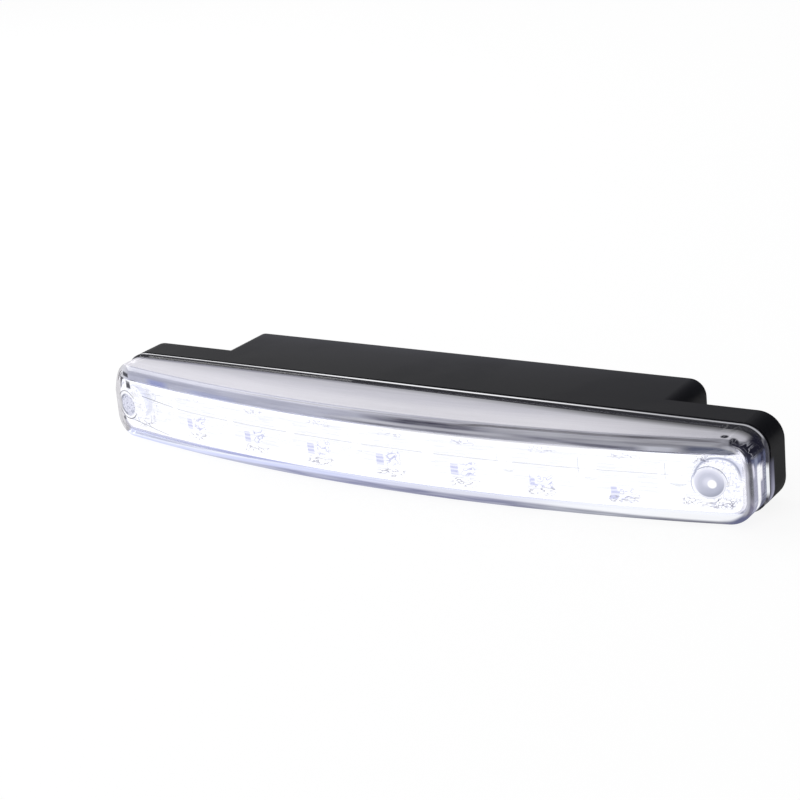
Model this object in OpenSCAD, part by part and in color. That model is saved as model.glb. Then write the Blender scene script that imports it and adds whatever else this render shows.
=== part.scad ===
// Daytime running light: a slim, bowed LED lamp for a car's bumper.
// The front of the lamp faces -Y, its length runs along X and it stands on z = 0.
// Every module below is drawn in the seam frame, where y = 0 is the front face of
// the rear housing's rim and z = 0 is the underside. placed() moves it to the part's
// own origin, which is the middle of the footprint.

/* [Body] */
// Overall length of the lamp
body_w = 185; // [182:1:210]
// Overall height of the lamp
body_h = 21; // [20.5:0.25:24]
// Corner radius of the lamp, seen from the front
corner_r = 6; // [5.5:0.25:7]
// Depth of the shallow shell behind the seam
shell_depth = 8.7; // [8.2:0.1:14]
// Distance from the lamp's end to the end of the pod behind the shell
pod_inset = 25.5; // [18:0.5:30]
// Depth of the pod behind the shell
pod_depth = 14.7; // [14:0.1:22]
// Corner radius of the pod, seen from the back
pod_corner_r = 4; // [3.5:0.25:6]
// Wall of the rear housing
shell_wall = 2; // [1.6:0.1:2.2]
// Width of the bevel round the back of the shell and the pod
back_bevel = 0.8; // [0.4:0.1:1.2]

/* [Lens] */
// Depth of the lens at its two ends
end_depth = 9.6; // [8:0.1:11]
// Extra depth that the curved front adds at the middle
bow = 10; // [6:0.5:14]
// Wall of the clear lens
lens_wall = 1.6; // [1.2:0.1:1.8]
// Thickness of the flange at the lens's rear edge
flange_t = 1; // [0.6:0.1:1.4]
// How far the flange stands out past the lens wall
flange_step = 0.5; // [0.3:0.1:0.7]
// Radius of the lens's front edge
lens_edge_r = 1.2; // [0.8:0.1:1.4]
// Thickness of the sealing ring in the seam
seal_t = 0.8; // [0.5:0.1:1.2]

/* [Reflector] */
// Wall of the plated reflector
mirror_wall = 1.1; // [0.9:0.05:1.2]
// Width of the reflector's rim above the window
top_rim = 2; // [1.6:0.1:2.4]
// Width of the reflector's rim below the window
bottom_rim = 0.8; // [0.8:0.1:1.4]
// Width of the reflector's rim at the window's two ends
end_rim = 0.9; // [0.8:0.1:1.2]
// How far the cup plate lies behind the rim
tray_depth = 2.6; // [2.2:0.1:2.8]
// Height that the sloping shelf above the cups falls
shelf_drop = 2.9; // [2.4:0.1:3]
// Height of the slope below the cups
sill_rise = 1.8; // [1.4:0.1:2]
// Depth of a cup, from the plate to the light board
cup_depth = 5; // [4.6:0.1:5.6]
// Width of a cup
cup_w = 6.6; // [6:0.1:7.6]
// Height of a cup
cup_h = 7.8; // [7:0.1:8]
// Radius of a cup's mouth
cup_mouth_r = 4.6; // [4.3:0.1:5]
// Radius of a cup's foot
cup_foot_r = 3.7; // [3.6:0.05:4]
// Width of the raised block between two cups
block_w = 5.2; // [4.8:0.1:6]
// How far a block stands out from the plate
block_rise = 1.3; // [1:0.1:1.6]

/* [Lights] */
// Number of lights
led_count = 8; // [6:1:8]
// Distance of the last light from the lamp's end
led_margin = 19; // [18:0.25:24]
// Side of a light's square package
led_w = 5; // [4.4:0.1:5]
// Thickness of a light's package
led_t = 1.2; // [0.8:0.1:1.4]
// Radius of the clear dome on a light
led_dome_r = 2; // [1.6:0.1:2.1]
// Thickness of the light board
board_t = 1; // [0.8:0.1:1.2]
// Gap between the light board and the housing's wall below it
board_gap = 0.6; // [0.4:0.1:0.9]

/* [Screws and cable] */
// Distance of a case screw from the lamp's end
screw_inset = 8.3; // [8.3:0.1:9]
// Radius of the lens's screw post
post_r = 3.2; // [2.8:0.1:3.2]
// Radius of a case screw's shank
screw_r = 1.5; // [1.3:0.05:1.6]
// Radius of a case screw's head
screw_head_r = 2.9; // [2.5:0.1:3.1]
// Height of a case screw's head
screw_head_h = 2; // [1.6:0.1:2.2]
// Distance of a bracket hole from the pod's end
bracket_inset = 20; // [16:0.5:24]
// Radius of a bracket hole
bracket_hole_r = 1.65; // [1.4:0.05:2]
// Depth of a bracket hole
bracket_hole_depth = 10; // [8:0.5:11]
// Radius of the cable hole in the grommet
cable_r = 2.3; // [2:0.1:2.6]

/* [Hidden] */
$fn = 96;
arc_fn = 256;

fit_gap = 0.15;
seat_gap = 0.02;
overrun = 1;

mid_z = body_h / 2;
shell_back = shell_depth;
pod_w = body_w - 2 * pod_inset;
pod_back = shell_depth + pod_depth;
full_depth = end_depth + bow;

// The front is an arc through the lens's two ends and its middle.
arc_r = (pow(body_w / 2, 2) + pow(bow, 2)) / (2 * bow);
arc_cy = arc_r - full_depth;

// Depths behind the lens's curved front, measured along the arc's radius.
mirror_gap = 0.3;
rim_s = lens_wall + mirror_gap;
rim_lip = 0.4;
slope_s = rim_s + rim_lip;
plate_s = rim_s + tray_depth;
plate_back_s = plate_s + mirror_wall;
ledge_t = 0.8;
ledge_s = plate_s - ledge_t;
ledge_rise = 0.7;
board_s = plate_s + cup_depth;

// Insets from the lamp's outline.
lens_inset = flange_step;
cavity_inset = lens_inset + lens_wall;
skirt_gap = 0.25;
skirt_inset = cavity_inset + skirt_gap;
spigot_inset = cavity_inset + fit_gap;
spigot_wall = 1.2;
throat_inset = spigot_inset + spigot_wall;
seal_edge = 0.4;
seal_w = 1.4;

// The housing's spigot reaches into the lens and ends just behind the reflector's skirt.
spigot_len = 2.5;
spigot_front = -spigot_len;
skirt_back = spigot_front - mirror_gap;
rim_t = 1.8;

// The window and what lies inside it.
window_end = skirt_inset + end_rim;
window_top = body_h - skirt_inset - top_rim;
window_bottom = skirt_inset + bottom_rim;
window_r = 2.7;
plate_top = window_top - shelf_drop;
plate_bottom = window_bottom + sill_rise;
led_z = (plate_top + plate_bottom) / 2;
block_draw_share = 0.35;
block_h_share = 0.96;

// Case screws and the posts that they hold.
screw_x = body_w / 2 - screw_inset;
pilot_share = 0.75;
pilot_r = screw_r * pilot_share;
pilot_clearance = 0.05;
pilot_depth = 6;
tip_clearance = 0.5;
post_seat = -1;
hole_clearance = 0.2;
boss_r = 5.2;
head_clearance = 0.25;
head_sink = screw_head_h + hole_clearance;
collar_gap = 0.25;
collar_rise = 0.9;
dome_share = 0.25;
cross_w_share = 0.28;
cross_len_share = 1.3;
cross_depth_share = 0.55;

// Light board.
led_pitch = (body_w - 2 * led_margin) / (led_count - 1);
board_h = 2 * (led_z - throat_inset - board_gap);
board_margin = 4;
board_half = (led_count - 1) / 2 * led_pitch + board_margin;
stud_r = 2.1;
stud_blocks = [0, floor((led_count - 2) / 2), led_count - 2];
board_screw_r = 0.8;
board_screw_clear = 0.35;
board_screw_len = 4;
board_head_r = 1.8;
board_head_h = 1.1;
tip_share = 0.5;
lead_r = 0.6;
lead_x = 3.2;
lead_inset = 1.7;
lead_z = led_z + board_h / 2 - lead_inset;
lead_hole_gap = 0.1;
lead_tip = 0.4;

// Driver board, on two standoffs in the pod.
driver_w = 66;
driver_gap = 2;
driver_h = body_h - 2 * (shell_wall + driver_gap);
driver_t = 1.6;
standoff_inset = 5;
standoff_x = driver_w / 2 - standoff_inset;
standoff_r = 2.4;
standoff_len = 10.5;
driver_screw_len = 4;
driver_back = pod_back - shell_wall - standoff_len;
driver_front = driver_back - driver_t;
driver_face = driver_front - seat_gap;
choke_x = -12;
choke_r = 4.6;
choke_h = 6.2;
choke_flange_t = 1.1;
choke_waist_share = 0.78;
capacitor_x = 13;
capacitor_r = 3.15;
capacitor_h = 7.6;
capacitor_groove_r = 0.25;
capacitor_groove_rise = 1.4;
chip_w = 5;
chip_t = 1.5;
chip_h = 4;
leg_w = 0.45;
leg_t = 0.25;
leg_len = 1.1;
leg_pitch = 1.27;
leg_count = 4;
diode_x = 22;
diode_w = 2.7;
diode_t = 2.2;
diode_h = 4.4;
tab_w = 1.6;
tab_t = 0.3;
tab_len = 0.8;
resistor_x = -21.5;
resistor_pitch = 3.4;
resistor_w = 1.6;
resistor_t = 0.6;
resistor_h = 3.2;

// Bracket bosses, ribs and grommet in the pod's back.
bracket_x = pod_w / 2 - bracket_inset;
bracket_boss_r = 4.2;
bracket_floor = 1.6;
pad_r = 5.4;
pad_t = 0.5;
grommet_wall = 1.7;
grommet_flange = 1.5;
grommet_flange_t = 1.5;
grommet_r = cable_r + grommet_wall;
grommet_flange_r = grommet_r + grommet_flange;
grommet_lip = 0.5;
rib_t = 1.4;
rib_h = 3;
rib_x = 15;

back_y = pod_back + grommet_flange_t;
seam_y = (full_depth - back_y) / 2;

// Facets of the rounding at the lens's two ends.
end_steps = 6;
end_clearance = 0.05;

led_names = [for (i = [1:led_count]) str("led_", i)];
board_screw_names = [for (i = [1:len(stud_blocks)]) str("board_screw_", i)];

// Where the curved front lies at x, a depth s behind the lens's outer face.
function bow_y(x, s) = arc_cy - sqrt(pow(arc_r - s, 2) - x * x);

function led_x(i) = (i - (led_count - 1) / 2) * led_pitch;
function block_x(i) = (i - (led_count - 2) / 2) * led_pitch;

// Moves a piece from the seam frame to the part's own origin.
module placed() {
    translate([0, seam_y, 0]) children();
}

// A rounded rectangle, w by h, about its own middle.
module rounded(w, h, r) {
    square([w - 2 * r, h], center = true);
    square([w, h - 2 * r], center = true);
    for (sx = [-1, 1], sz = [-1, 1])
        translate([sx * (w / 2 - r), sz * (h / 2 - r)]) circle(r);
}

// The lamp's front view, drawn in by an inset.
module outline(width, inset, r) {
    translate([0, mid_z]) rounded(width - 2 * inset, body_h - 2 * inset, r - inset);
}

// Extrudes a drawing of the front view from y0 back to y1.
module along_y(y0, y1) {
    translate([0, y1, 0]) rotate([90, 0, 0]) linear_extrude(y1 - y0) children();
}

module slab(y0, y1, width = body_w, inset = 0, r = corner_r) {
    along_y(y0, y1) outline(width, inset, r);
}

// A slab with a bevel round its rear edge: two flat-sided bands and four cones.
module bevelled_slab(y0, y1, width, r) {
    y = y1 - back_bevel;
    w = width / 2;
    slab(y0, y, width, r = r);
    translate([r - w, 0, mid_z]) rotate([90, 0, 90]) linear_extrude(2 * (w - r))
        polygon([[y, -mid_z], [y, mid_z],
                 [y1, mid_z - back_bevel], [y1, back_bevel - mid_z]]);
    translate([0, 0, r]) linear_extrude(body_h - 2 * r)
        polygon([[-w, y], [w, y], [w - back_bevel, y1], [back_bevel - w, y1]]);
    for (sx = [-1, 1], z = [r, body_h - r])
        translate([sx * (w - r), y, z]) rotate([-90, 0, 0])
            cylinder(h = back_bevel, r1 = r, r2 = r - back_bevel);
}

// A round bar along Y from y0 back to y1.
module bar(y0, y1, r, x = 0, z = mid_z) {
    translate([x, y1, z]) rotate([90, 0, 0]) cylinder(h = y1 - y0, r = r);
}

// A box from y0 back to y1, with its middle at x and z.
module brick(y0, y1, w, h, x = 0, z = mid_z) {
    translate([x - w / 2, y0, z - h / 2]) cube([w, y1 - y0, h]);
}

// Puts its children on the arc: their origin lies at depth s, their -Y faces out.
module on_arc(x, s) {
    translate([0, arc_cy, 0]) rotate([0, 0, asin(x / arc_r)])
        translate([0, s - arc_r, 0]) children();
}

// Everything deeper than s behind the curved front.
module inside_arc(s) {
    translate([0, arc_cy, -overrun])
        cylinder(h = body_h + 2 * overrun, r = arc_r - s, $fn = arc_fn);
}

// Revolves a drawing of [radius, z] along the lamp's arc, out to a half length.
module swept(half_length) {
    half_angle = asin(half_length / arc_r);
    translate([0, arc_cy, 0]) rotate([0, 0, 270 - half_angle])
        rotate_extrude(angle = 2 * half_angle, $fn = arc_fn) children();
}

// A polygon of [depth, z] points, turned into [radius, z].
module depth_profile(points) {
    polygon([for (p = points) [arc_r - p[0], p[1]]]);
}

// The section of a bowed block, with its two long front edges rounded.
module nose_profile(inset, s, edge) {
    depth = full_depth + 2 * overrun;
    h = body_h - 2 * inset;
    translate([arc_r - s - depth, inset]) square([depth - edge, h]);
    translate([arc_r - s - depth, inset + edge]) square([depth, h - 2 * edge]);
    for (z = [inset + edge, body_h - inset - edge])
        translate([arc_r - s - edge, z]) circle(edge, $fn = 48);
}

// The plan of a bowed block, with its two front corners rounded into the arc.
module nose_plan(inset, s, edge, rear_y) {
    half = body_w / 2 - inset;
    ring = arc_r - s + end_clearance - edge;
    x = half - edge;
    drop = sqrt(ring * ring - x * x);
    turn = atan2(-drop, x);
    corner = [for (i = [0:end_steps])
        [x + edge * cos(turn * i / end_steps),
         arc_cy - drop + edge * sin(turn * i / end_steps)]];
    tip = [0, arc_cy - pow(arc_r + overrun, 2) / (arc_cy - corner[end_steps][1])];
    polygon(concat(
        [[half, rear_y]], corner, [tip],
        [for (i = [end_steps:-1:0]) [-corner[i][0], corner[i][1]]], [[-half, rear_y]]
    ));
}

// A closed block with the lamp's outline and its curved front, its edges rounded.
module bowed_block(inset, s, rear_y, edge) {
    intersection() {
        slab(-full_depth - overrun, rear_y, body_w, inset);
        swept(body_w / 2 + overrun) nose_profile(inset, s, edge);
        translate([0, 0, -overrun]) linear_extrude(body_h + 2 * overrun)
            nose_plan(inset, s, edge, rear_y + overrun);
    }
}

// The same block without rounded edges.
module bowed_cap(inset, s, rear_y) {
    intersection() {
        slab(-full_depth - overrun, rear_y, body_w, inset);
        inside_arc(s);
    }
}

// A pan-head screw along -Y: its head seats on y = 0 and stands behind it.
module screw(shank_r, shank_len, tip_r, tip_len, head_r, head_h) {
    cut_h = 2 * head_h * cross_depth_share;
    difference() {
        union() {
            bar(-shank_len, seat_gap, shank_r, z = 0);
            bar(-shank_len - tip_len, seat_gap - shank_len, tip_r, z = 0);
            rotate([-90, 0, 0]) {
                cylinder(h = head_h / 2, r = head_r);
                translate([0, 0, head_h / 2])
                    cylinder(h = head_h / 2, r1 = head_r, r2 = head_r - head_h * dome_share);
            }
        }
        for (turn = [0, 90])
            translate([0, head_h, 0]) rotate([0, turn, 0])
                cube([head_r * cross_len_share, cut_h, head_r * cross_w_share], center = true);
    }
}

// The outer form of the black rear housing: shallow shell, pod and rim with spigot.
module housing_shell() {
    difference() {
        union() {
            bevelled_slab(0, shell_back, body_w, corner_r);
            bevelled_slab(0, pod_back, pod_w, pod_corner_r);
            slab(spigot_front, rim_t, body_w, spigot_inset);
        }
        slab(rim_t, shell_back - shell_wall, body_w, shell_wall);
        slab(rim_t, pod_back - shell_wall, pod_w, shell_wall, pod_corner_r);
        slab(spigot_front - overrun, rim_t + overrun, body_w, throat_inset);
    }
}

module rear_housing() {
    color([0.09, 0.09, 0.1]) difference() {
        union() {
            housing_shell();
            for (side = [-1, 1]) {
                bar(post_seat, shell_back - shell_wall / 2, boss_r, side * screw_x);
                bar(pod_back - bracket_hole_depth - bracket_floor,
                    pod_back - shell_wall / 2, bracket_boss_r, side * bracket_x);
                bar(pod_back - shell_wall / 2, pod_back + pad_t, pad_r, side * bracket_x);
                bar(driver_back, pod_back - shell_wall / 2, standoff_r, side * standoff_x);
                brick(pod_back - shell_wall - rib_h, pod_back - shell_wall / 2, rib_t,
                      body_h - shell_wall, side * rib_x);
            }
        }
        for (side = [-1, 1]) {
            bar(post_seat - overrun, shell_back + overrun, screw_r + hole_clearance,
                side * screw_x);
            bar(shell_back - head_sink, shell_back + overrun,
                screw_head_r + head_clearance, side * screw_x);
            bar(pod_back - bracket_hole_depth, pod_back + pad_t + overrun,
                bracket_hole_r, side * bracket_x);
            bar(driver_back - overrun, driver_back + driver_screw_len + overrun / 2,
                board_screw_r + pilot_clearance, side * standoff_x);
        }
        bar(pod_back - shell_wall - overrun, pod_back + overrun, grommet_r + fit_gap);
    }
}

// The clear front lens, with its flange and two screw posts behind the front wall.
module front_lens() {
    color([0.9, 0.93, 0.98, 0.35]) difference() {
        union() {
            bowed_block(lens_inset, 0, -seal_t - flange_t / 2, lens_edge_r);
            slab(-seal_t - flange_t, -seal_t);
        }
        difference() {
            bowed_cap(cavity_inset, lens_wall, overrun);
            for (side = [-1, 1])
                bar(-full_depth, post_seat, post_r, side * screw_x);
        }
        for (side = [-1, 1])
            bar(post_seat - pilot_depth, post_seat + overrun,
                pilot_r + pilot_clearance, side * screw_x);
    }
}

// The rubber ring that seals the lens's flange against the housing's rim.
module seal_ring() {
    color([0.05, 0.05, 0.05]) difference() {
        slab(seat_gap - seal_t, -seat_gap, body_w, seal_edge);
        slab(-seal_t - overrun, overrun, body_w, seal_edge + seal_w);
    }
}

// The hollow that the lights shine through: shelf, ledge, plate and sill.
module tray_hollow() {
    intersection() {
        swept(body_w / 2 + overrun) depth_profile([
            [-overrun, window_top + overrun], [rim_s / 2, window_top + overrun],
            [slope_s, window_top], [ledge_s, plate_top + ledge_rise], [ledge_s, plate_top],
            [plate_s, plate_top], [plate_s, plate_bottom],
            [slope_s, window_bottom], [rim_s / 2, window_bottom - overrun],
            [-overrun, window_bottom - overrun]
        ]);
        along_y(-full_depth - overrun, full_depth)
            translate([0, (window_top + window_bottom) / 2])
                rounded(body_w - 2 * window_end, window_top - window_bottom, window_r);
    }
}

// The solid that the hollow is sunk into.
module tray_body() {
    roof = plate_top + ledge_rise + mirror_wall;
    intersection() {
        swept(body_w / 2 + overrun) depth_profile([
            [slope_s, window_top + mirror_wall], [ledge_s, roof], [plate_back_s, roof],
            [plate_back_s, plate_bottom - mirror_wall],
            [slope_s, window_bottom - mirror_wall / 2]
        ]);
        slab(-full_depth, overrun, body_w, skirt_inset);
    }
}

// A cup: a cone cut square at its sides, from the plate to the light board.
module cup(grow, front, length) {
    intersection() {
        translate([0, length, led_z]) rotate([90, 0, 0])
            cylinder(h = length + front, r1 = cup_foot_r + grow, r2 = cup_mouth_r + grow);
        brick(-front, length, cup_w + 2 * grow, cup_h + 2 * grow, z = led_z);
    }
}

// A raised block between two cups, its sides drawn in towards its face.
module block() {
    draw = block_rise * block_draw_share;
    h = cup_h * block_h_share;
    polyhedron(
        points = [for (p = [[mirror_wall / 2, 0], [-block_rise, draw]])
            each [for (c = [[-1, -1], [1, -1], [1, 1], [-1, 1]])
                [c[0] * (block_w / 2 - p[1]), p[0], led_z + c[1] * (h / 2 - p[1])]]],
        faces = [[0, 1, 2, 3], [7, 6, 5, 4], [0, 4, 5, 1], [1, 5, 6, 2],
                 [2, 6, 7, 3], [3, 7, 4, 0]]
    );
}

// The plated reflector: skirt, rim, tray, cups, blocks, collars and studs.
module reflector() {
    collar_r = post_r + collar_gap + mirror_wall;
    color([0.86, 0.87, 0.89]) difference() {
        union() {
            difference() {
                union() {
                    difference() {
                        bowed_cap(skirt_inset, rim_s, skirt_back);
                        bowed_cap(skirt_inset + mirror_wall, rim_s + mirror_wall, overrun);
                    }
                    tray_body();
                    for (i = [0:led_count - 1])
                        on_arc(led_x(i), plate_s)
                            cup(mirror_wall, 0, cup_depth - fit_gap);
                    for (i = stud_blocks)
                        on_arc(block_x(i), plate_s)
                            bar(mirror_wall / 2, cup_depth - fit_gap, stud_r, z = led_z);
                }
                tray_hollow();
            }
            for (i = [0:led_count - 2]) on_arc(block_x(i), plate_s) block();
            for (side = [-1, 1])
                bar(bow_y(screw_x, plate_s) - collar_rise, post_seat - fit_gap, collar_r,
                    side * screw_x);
        }
        for (i = [0:led_count - 1]) on_arc(led_x(i), plate_s) cup(0, overrun, cup_depth);
        for (i = stud_blocks)
            on_arc(block_x(i), board_s)
                bar(-board_screw_len, overrun, board_screw_r + pilot_clearance, z = led_z);
        for (side = [-1, 1])
            bar(-full_depth, overrun, post_r + collar_gap, side * screw_x);
    }
}

// The thin metal-core board that carries the lights, bent to the reflector's curve.
module light_board() {
    low = led_z - board_h / 2;
    high = led_z + board_h / 2;
    color([0.93, 0.94, 0.92]) difference() {
        swept(board_half) depth_profile([[board_s, low], [board_s + board_t, low],
                                         [board_s + board_t, high], [board_s, high]]);
        for (i = stud_blocks)
            on_arc(block_x(i), board_s)
                bar(-overrun, board_t + overrun, board_screw_r + board_screw_clear, z = led_z);
        for (side = [-1, 1])
            bar(-full_depth, 0, lead_r + lead_hole_gap, side * lead_x, lead_z);
    }
}

// One light: a square package with a clear dome over its yellow emitter.
module led(i) {
    color([0.95, 0.9, 0.6]) on_arc(led_x(i), board_s - seat_gap) {
        brick(-led_t, 0, led_w, led_w, z = led_z);
        difference() {
            translate([0, -led_t, led_z]) sphere(led_dome_r);
            brick(-led_t / 2, led_dome_r, led_w, led_w, z = led_z);
        }
    }
}

module board_screw(i) {
    color([0.72, 0.73, 0.75]) on_arc(block_x(i), board_s + board_t + seat_gap)
        translate([0, 0, led_z])
            screw(board_screw_r, board_screw_len, board_screw_r * tip_share,
                  board_screw_r * tip_share, board_head_r, board_head_h);
}

// The driver board, standing on the pod's two standoffs.
module driver_board() {
    color([0.12, 0.36, 0.2]) difference() {
        brick(driver_front, driver_back - seat_gap, driver_w, driver_h);
        for (side = [-1, 1]) {
            bar(driver_front - overrun, driver_back + overrun,
                board_screw_r + board_screw_clear, side * standoff_x);
            bar(driver_front - overrun, driver_back + overrun,
                lead_r + lead_hole_gap, side * lead_x, lead_z);
        }
    }
}

// A screw of the driver board, its head facing the front.
module driver_screw(side) {
    color([0.72, 0.73, 0.75])
        translate([side * standoff_x, driver_face, mid_z]) rotate([0, 0, 180])
            screw(board_screw_r, driver_t + driver_screw_len - board_screw_r,
                  board_screw_r * tip_share, board_screw_r * tip_share, board_head_r,
                  board_head_h);
}

// The storage choke: a ferrite drum with its winding.
module choke() {
    top = driver_face - choke_h;
    color([0.25, 0.22, 0.2]) {
        bar(driver_face - choke_flange_t, driver_face, choke_r, choke_x);
        bar(top, driver_face, choke_r * choke_waist_share, choke_x);
        bar(top, top + choke_flange_t, choke_r, choke_x);
    }
}

// The smoothing capacitor: a can with its crimped groove.
module capacitor() {
    color([0.16, 0.17, 0.22]) difference() {
        bar(driver_face - capacitor_h, driver_face, capacitor_r, capacitor_x);
        translate([capacitor_x, driver_face - capacitor_groove_rise, mid_z])
            rotate([90, 0, 0]) rotate_extrude()
                translate([capacitor_r, 0]) circle(capacitor_groove_r, $fn = 24);
    }
}

// The driver chip, with a row of legs along each side.
module driver_chip() {
    leg_span = (leg_count - 1) * leg_pitch;
    color([0.1, 0.1, 0.11]) {
        brick(driver_face - chip_t, driver_face, chip_w, chip_h);
        for (side = [-1, 1], i = [0:leg_count - 1])
            brick(driver_face - leg_t, driver_face, leg_w, leg_len,
                  i * leg_pitch - leg_span / 2, mid_z + side * chip_h / 2);
    }
}

// The diode that guards against crossed leads, with a tab at each end.
module polarity_diode() {
    color([0.12, 0.12, 0.13]) {
        brick(driver_face - diode_t, driver_face, diode_w, diode_h, diode_x);
        for (side = [-1, 1])
            brick(driver_face - tab_t, driver_face, tab_w, tab_len, diode_x,
                  mid_z + side * diode_h / 2);
    }
}

// The two sense resistors, side by side.
module sense_resistors() {
    color([0.14, 0.14, 0.15]) for (side = [-1, 1])
        brick(driver_face - resistor_t, driver_face, resistor_w, resistor_h,
              resistor_x + side * resistor_pitch / 2);
}

// A stiff lead from the driver board to the light board.
module link_lead(side, tint) {
    color(tint) bar(bow_y(lead_x, board_s) - lead_tip, driver_back + lead_tip, lead_r,
                    side * lead_x, lead_z);
}

module case_screw(side) {
    seat = shell_back - head_sink + seat_gap;
    color([0.75, 0.76, 0.78]) translate([side * screw_x, seat, mid_z])
        screw(screw_r, seat - post_seat, pilot_r, pilot_depth - tip_clearance,
              screw_head_r, screw_head_h);
}

// The rubber grommet that leads the supply cable through the pod's back.
module cable_grommet() {
    inner = pod_back - shell_wall - grommet_flange_t;
    color([0.06, 0.06, 0.06]) difference() {
        union() {
            bar(inner, back_y, grommet_r);
            bar(pod_back + seat_gap, back_y, grommet_flange_r);
            bar(inner, pod_back - shell_wall - seat_gap, grommet_r + grommet_lip);
        }
        bar(inner - overrun, back_y + overrun, cable_r);
    }
}

placed() rear_housing();
placed() front_lens();
placed() seal_ring();
placed() reflector();
placed() light_board();
for (i = [0:led_count - 1])
    placed() led(i);
for (i = [0:len(stud_blocks) - 1])
    placed() board_screw(stud_blocks[i]);
placed() driver_board();
placed() driver_screw(-1);  // driver_screw_left
placed() driver_screw(1);  // driver_screw_right
placed() choke();
placed() capacitor();
placed() driver_chip();
placed() polarity_diode();
placed() sense_resistors();
placed() link_lead(-1, "red");  // lead_positive
placed() link_lead(1, "black");  // lead_negative
placed() case_screw(-1);  // case_screw_left
placed() case_screw(1);  // case_screw_right
placed() cable_grommet();
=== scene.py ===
"""Daytime running light: a slim bowed lamp with a clear lens and a black rear housing.

The lamp faces -Y, its length runs along X and it stands on z = 0. Lengths are in metres, but the
materials read a place on the lamp, and give the tones for it, painted light and shade among them,
in millimetres.
"""

import math
from types import SimpleNamespace

import bmesh
import bpy
from mathutils import Matrix, Vector


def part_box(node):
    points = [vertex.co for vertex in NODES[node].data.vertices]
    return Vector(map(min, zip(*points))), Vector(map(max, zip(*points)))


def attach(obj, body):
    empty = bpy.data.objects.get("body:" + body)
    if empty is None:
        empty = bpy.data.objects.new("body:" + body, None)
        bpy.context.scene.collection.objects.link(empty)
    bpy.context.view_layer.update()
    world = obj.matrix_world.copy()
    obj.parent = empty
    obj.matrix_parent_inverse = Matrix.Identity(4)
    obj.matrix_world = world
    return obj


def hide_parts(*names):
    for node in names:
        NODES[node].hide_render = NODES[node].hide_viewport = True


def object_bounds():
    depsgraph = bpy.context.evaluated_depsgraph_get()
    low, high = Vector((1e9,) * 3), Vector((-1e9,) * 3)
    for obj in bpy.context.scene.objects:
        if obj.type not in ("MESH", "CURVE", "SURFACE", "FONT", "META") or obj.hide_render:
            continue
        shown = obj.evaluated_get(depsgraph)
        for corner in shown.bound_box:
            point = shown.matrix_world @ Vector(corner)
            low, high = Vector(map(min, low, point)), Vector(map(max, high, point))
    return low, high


bl_info = {
    "name": "Daytime Running Light",
    "version": (1, 0, 0),
    "blender": (4, 5, 0),
    "location": "View3D > Sidebar > Running Light",
    "description": "Dresses the packed running light with its lens, finishes and studio",
    "category": "Object",
}

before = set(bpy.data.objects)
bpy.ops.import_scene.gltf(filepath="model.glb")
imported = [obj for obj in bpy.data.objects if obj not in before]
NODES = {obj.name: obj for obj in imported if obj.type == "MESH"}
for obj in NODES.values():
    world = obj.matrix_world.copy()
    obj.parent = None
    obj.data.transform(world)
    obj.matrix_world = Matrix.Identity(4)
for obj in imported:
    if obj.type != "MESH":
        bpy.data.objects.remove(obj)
CAD_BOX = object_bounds()

MM = 0.001
LENS_LOW, LENS_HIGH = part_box("front_lens")
MID_Z = (LENS_LOW.z + LENS_HIGH.z) / 2
SEAM_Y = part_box("seal_ring")[1].y + 0.02 * MM
LIGHTS = sorted(n for n in NODES if n.startswith("led_"))
BOARD_SCREWS = sorted(n for n in NODES if n.startswith("board_screw_"))

# The front's mesh: its cuts along the length, and those that let it roll back, as distances
# below its top and in from its ends.
SAME_PLACE = 1e-6
SHARP_ANGLE = math.radians(35)
FRONT_CUTS = 72
TOP_CUTS = [drop * MM for drop in (8, 6.5, 5, 4, 3, 2.6, 2.2, 1.8)]
END_CUTS = [drop * MM for drop in (7.2, 5.8, 4.6, 3.6, 2.8, 2.2)]

# Where each part of the roll starts, from the top or an end, and the length it grows over.
EDGE_ROLL_START, EDGE_ROLL_SPAN = 3 * MM, 2.5 * MM
END_ROLL_START, END_ROLL_SPAN = 8 * MM, 6 * MM
TOP_ROLL_START, TOP_ROLL_SPAN = 9 * MM, 7 * MM

# The lens's inner edge, the gap behind its posts and the pilot holes in them.
INNER_EDGE = 0.5 * MM
POST_GAP = 1 * MM
PILOT_RADIUS, PILOT_DEPTH, PILOT_PAST = 1.175 * MM, 7 * MM, 1 * MM

# In the materials: the front of the lens's flange on the Back scale, the spacing of the lights, the
# strength of the painted glow on the lens's edges and the housing's rim, and two plain tones.
FLANGE_FRONT = -1.84
LIGHT_PITCH = 21.0
EDGE_GLOW = 0.95
BLACK, WHITE = (0.0, 0.0, 0.0), (1.0, 1.0, 1.0)

# The coats of painted light, shade and reflection on the lens, from the first laid to the last, and
# how far each covers the clear part.
LENS_COATS = (
    ("post_side", 0.97), ("lines", 0.97), ("shade_band", 0.97), ("halo", 0.97), ("ring", 0.97),
    ("disc", 0.98), ("edge", 0.995), ("top", 0.975), ("low", 0.985), ("left", 0.97),
    ("post_edge_shade", 0.97), ("under_line", 0.97), ("nicks", 0.97), ("dark_top_reflections", 0.98),
    ("left_shade_spots", 0.98), ("right", 0.985), ("flange", 0.98))

# The studio: its lamps' places, widths and powers, and the camera, whose focal length and centre
# are in pixels of a square frame.
STUDIO_LAMPS = (("left_panel", (-0.75, 0.1, 0.6), 0.6, 3.5),
                ("front_panel", (-0.1, -0.9, 0.5), 0.6, 2.0))
FRAME_SIDE, SENSOR_WIDTH = 800, 36
CAMERA_AZIMUTH, CAMERA_ELEVATION, CAMERA_ROLL = 34.8385, 20.5709, -6.2354
CAMERA_FOCAL, CAMERA_CENTRE = 1872.6055, (416.7122, 425.904)
CAMERA_DISTANCE, CAMERA_AIM_DEPTH = 461.6148 * MM, 18 * MM


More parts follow.
